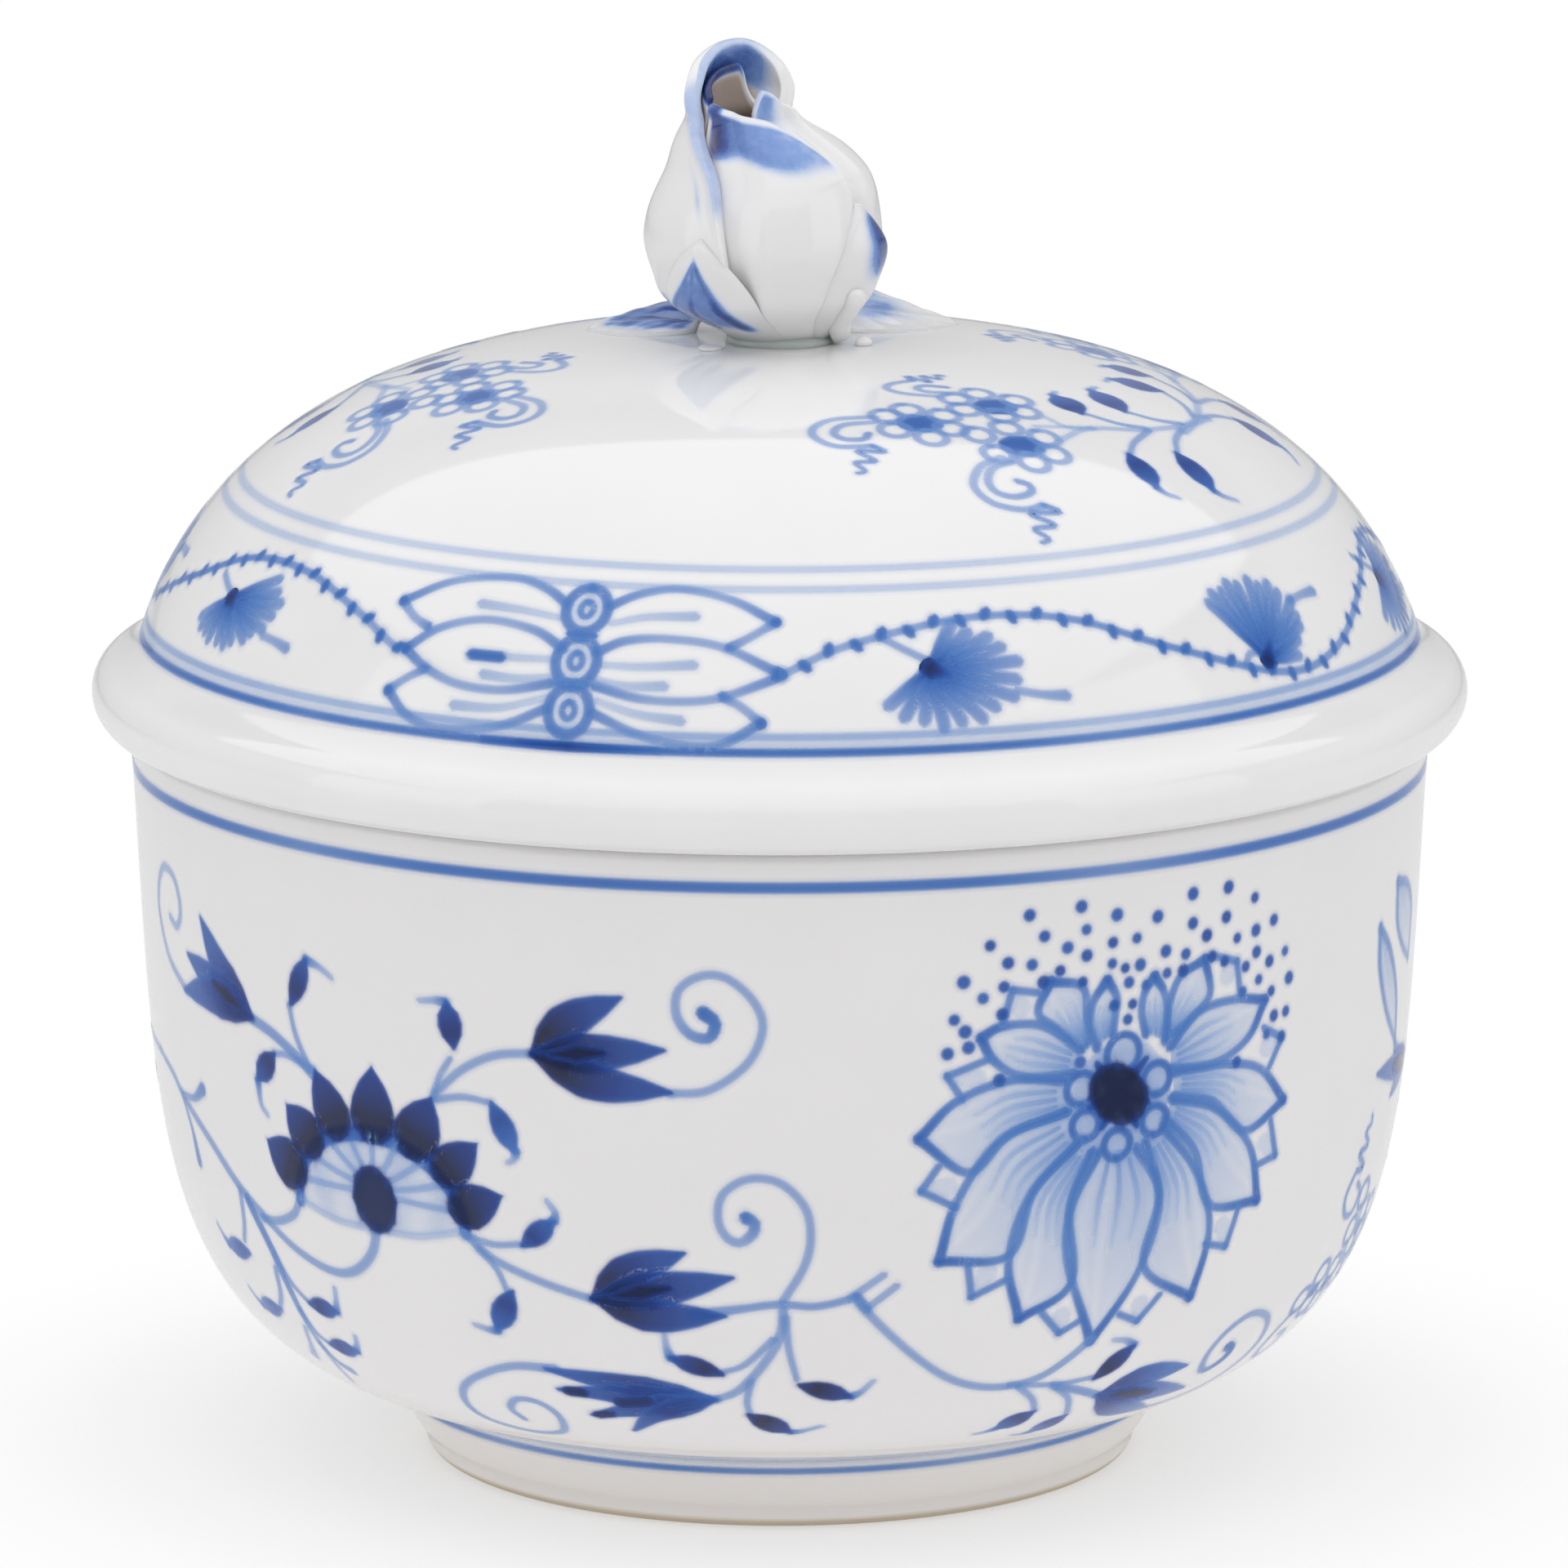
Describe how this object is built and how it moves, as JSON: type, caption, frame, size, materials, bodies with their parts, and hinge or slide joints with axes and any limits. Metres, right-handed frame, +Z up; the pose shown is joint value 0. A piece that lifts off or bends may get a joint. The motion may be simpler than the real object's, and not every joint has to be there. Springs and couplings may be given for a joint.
{
  "type": "sugar bowl",
  "caption": "Round lidded sugar bowl on a foot ring, with a domed lift-off lid that has a rolled rim and a rosebud handle.",
  "frame": {"origin": "centre of the foot ring's base, on the surface that the bowl stands on", "axes": "+Z up along the axis of the bowl and lid, the painted front faces -Y, and +X is to the right"},
  "size_m": [0.1116, 0.1116, 0.1155],
  "materials": {
    "bowl_porcelain": "clear gloss glaze over white porcelain with cobalt painting",
    "foot_porcelain": "clear gloss glaze, slightly warmer white",
    "lid_porcelain": "clear gloss glaze over white porcelain with cobalt painting",
    "rosebud_porcelain": "clear gloss glaze with cobalt washes on the petal rims",
    "leaf_porcelain": "clear gloss glaze with cobalt washes and veins"
  },
  "bodies": {
    "bowl_body": {"bowl": "bowl_porcelain", "foot_ring": "foot_porcelain"},
    "lid_body": {"lid": "lid_porcelain", "lid_flange": "lid_porcelain", "bud_core": "rosebud_porcelain", "petal_hood": "rosebud_porcelain", "petal_inner": "rosebud_porcelain", "petal_front": "rosebud_porcelain", "petal_right": "rosebud_porcelain", "sepal_left": "leaf_porcelain", "sepal_right": "leaf_porcelain", "sepal_side": "leaf_porcelain", "sepal_back": "leaf_porcelain", "stem": "rosebud_porcelain", "leaf_left": "leaf_porcelain", "leaf_right": "leaf_porcelain"}
  },
  "joints": [
    {"name": "lid_lift", "type": "slide", "parent": "bowl_body", "child": "lid_body", "axis": [0, 0, 1], "range_m": [0, 0.1]}
  ]
}
